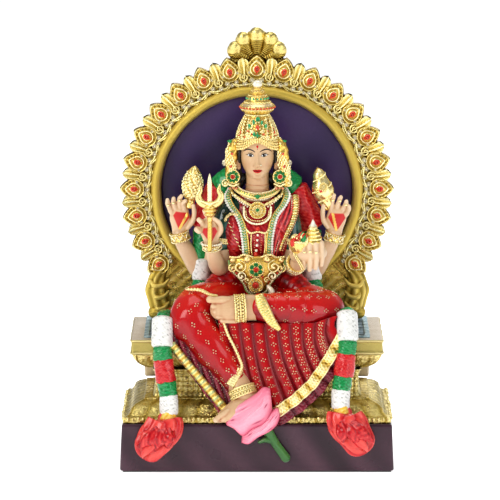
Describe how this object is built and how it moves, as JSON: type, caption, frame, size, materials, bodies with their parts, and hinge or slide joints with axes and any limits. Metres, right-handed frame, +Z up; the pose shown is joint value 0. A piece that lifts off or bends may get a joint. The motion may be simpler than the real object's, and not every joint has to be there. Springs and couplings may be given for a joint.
{
  "type": "hindu deity statue",
  "caption": "Seated goddess figurine with raised and crossed leg, lotus footrest and flower garlands, on a throne with a gilt halo arch and plinth.",
  "frame": {"origin": "centre of the felt underside of the plinth, where the statue stands", "axes": "+Z up, the figure faces -Y, +X towards the figure's left hand"},
  "size_m": [0.1918, 0.1155, 0.2937],
  "materials": {
    "felt": "black felt",
    "plinth_paint": "glossy dark aubergine paint on cast resin",
    "gold_paint": "bright metallic gold paint with a fine glitter coat on cast resin",
    "beige_paint": "pale beige-gold undercoat on cast resin",
    "mat_paint": "grey-teal paint with silver glitter",
    "steel": "plain steel pin",
    "purple_paint": "satin purple paint on cast resin",
    "skin_paint": "warm ivory skin paint on cast resin, satin",
    "red_paint": "glossy bright red paint with gold dots on cast resin",
    "teal_paint": "glossy dark teal green paint on cast resin",
    "maroon_paint": "deep maroon paint on cast resin",
    "black_paint": "glossy black hair paint",
    "red_stone_paint": "glossy translucent red paint",
    "green_paint": "glossy green paint",
    "white_paint": "satin white paint on cast resin flowers",
    "yellow_paint": "satin yellow-orange paint",
    "pink_paint": "satin pink paint shaded to pale pink",
    "stem_paint": "dark green paint",
    "pearl_paint": "gold, green and pearl-white bead paint"
  },
  "bodies": {
    "root": {"felt_pad": "felt", "plinth": "plinth_paint", "throne_tier": "gold_paint", "throne_waist": "gold_paint", "throne_back_ledge": "beige_paint", "throne_cornice": "gold_paint", "seat_slab": "gold_paint", "seat_mat": "mat_paint", "steel_pins": "steel", "arch_plate": "gold_paint", "arch_rim": "gold_paint", "arch_medallions": "gold_paint", "arch_stones": "red_stone_paint", "arch_leaf_tips": "gold_paint", "arch_scrolls": "gold_paint", "arch_foot_right": "gold_paint", "arch_foot_left": "gold_paint", "back_disc": "purple_paint", "serpent_hood": "gold_paint", "torso": "red_paint", "head": "skin_paint", "hair": "black_paint", "crown": "gold_paint", "crown_red_stones": "red_stone_paint", "crown_green_stones": "green_paint", "ear_ornaments": "gold_paint", "earrings": "gold_paint", "necklaces": "gold_paint", "pendant": "gold_paint", "chest_garlands": "pearl_paint", "sari_pallu": "red_paint", "waist_belt": "gold_paint", "belt_buckle": "gold_paint", "sleeves": "teal_paint", "front_right_arm": "skin_paint", "front_left_arm": "skin_paint", "rear_right_arm": "skin_paint", "rear_left_arm": "skin_paint", "bracelets": "gold_paint", "trident": "gold_paint", "lotus_bud": "gold_paint", "conch": "gold_paint", "bowl": "gold_paint", "bowl_offering": "gold_paint", "lap_drape": "red_paint", "right_leg_drape": "red_paint", "left_leg_drape": "red_paint", "front_pleats": "red_paint", "under_sari": "maroon_paint", "hem_borders": "gold_paint", "right_foot": "skin_paint", "left_foot": "skin_paint", "anklets": "gold_paint", "lotus_bloom": "pink_paint", "lotus_stem": "stem_paint", "garland_white_rolls": "white_paint", "garland_green_rolls": "green_paint", "garland_red_rolls": "red_stone_paint", "garland_ties": "yellow_paint", "garland_tassels": "red_stone_paint"}
  },
  "joints": []
}
